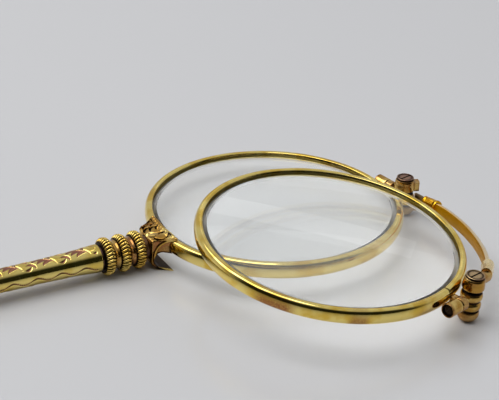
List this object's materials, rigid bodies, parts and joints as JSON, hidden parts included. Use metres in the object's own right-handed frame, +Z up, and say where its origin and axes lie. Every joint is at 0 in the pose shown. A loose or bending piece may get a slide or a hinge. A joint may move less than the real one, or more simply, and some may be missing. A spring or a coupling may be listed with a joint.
{
  "type": "folding lorgnette",
  "caption": "Pair of round hand-held spectacles on an engraved gold handle; the front lens folds across the back lens on a hinged spring bridge.",
  "frame": {"origin": "middle of the footprint, on the table that the lorgnette lies on", "axes": "+X from the handle to the lenses, +Z up, square to the back lens; the bridge lies towards +X and the front lens towards -Y"},
  "size_m": [0.1308, 0.0566, 0.0104],
  "materials": {
    "gold": "polished gold",
    "worn_gold": "worn gold, tarnished in the corners",
    "engraved_gold": "engraved gold with dark cuts",
    "dark_gold": "tarnished gold",
    "steel": "aged steel",
    "lens_glass": "clear polished glass with a ground edge"
  },
  "bodies": {
    "back_frame": {"back_rim": "gold", "back_lens": "lens_glass", "back_closing_barrel": "worn_gold", "back_closing_screw": "steel", "back_hinge_leaf": "worn_gold", "catch_cornet": "engraved_gold", "cornet_neck": "dark_gold", "rope_ring_1": "gold", "rope_ring_2": "gold", "rope_ring_3": "gold", "ring_spacer_1": "worn_gold", "ring_spacer_2": "worn_gold", "tube_collar": "dark_gold", "handle_tube": "engraved_gold", "handle_tang": "dark_gold", "end_cap": "worn_gold", "end_rope_ring": "gold", "end_finial": "worn_gold"},
    "bridge": {"bridge_band": "gold", "back_sleeve": "worn_gold", "front_sleeve": "worn_gold", "back_fork": "worn_gold", "front_fork": "worn_gold", "back_pivot_screw": "steel", "front_pivot_screw": "steel"},
    "front_frame": {"front_rim": "gold", "front_lens": "lens_glass", "front_closing_barrel": "worn_gold", "front_closing_screw": "steel", "front_hinge_leaf": "worn_gold"},
    "suspension_ring_body": {"suspension_ring": "gold"}
  },
  "joints": [
    {"name": "bridge_fold", "type": "hinge", "parent": "back_frame", "child": "bridge", "pos_m": [0.06197, 0.00407, 0.0038], "axis": [0, 0, 1], "range_deg": [0, 48.9]},
    {"name": "front_fold", "type": "hinge", "parent": "bridge", "child": "front_frame", "pos_m": [0.05325, -0.02462, 0.0038], "axis": [0.0259, -0.0792, 0.9965], "range_deg": [0, 81]},
    {"name": "ring_swing", "type": "hinge", "parent": "back_frame", "child": "suspension_ring_body", "pos_m": [-0.05969, 0.00884, 0.0028], "axis": [0, 1, 0], "range_deg": [-70, 120]}
  ]
}
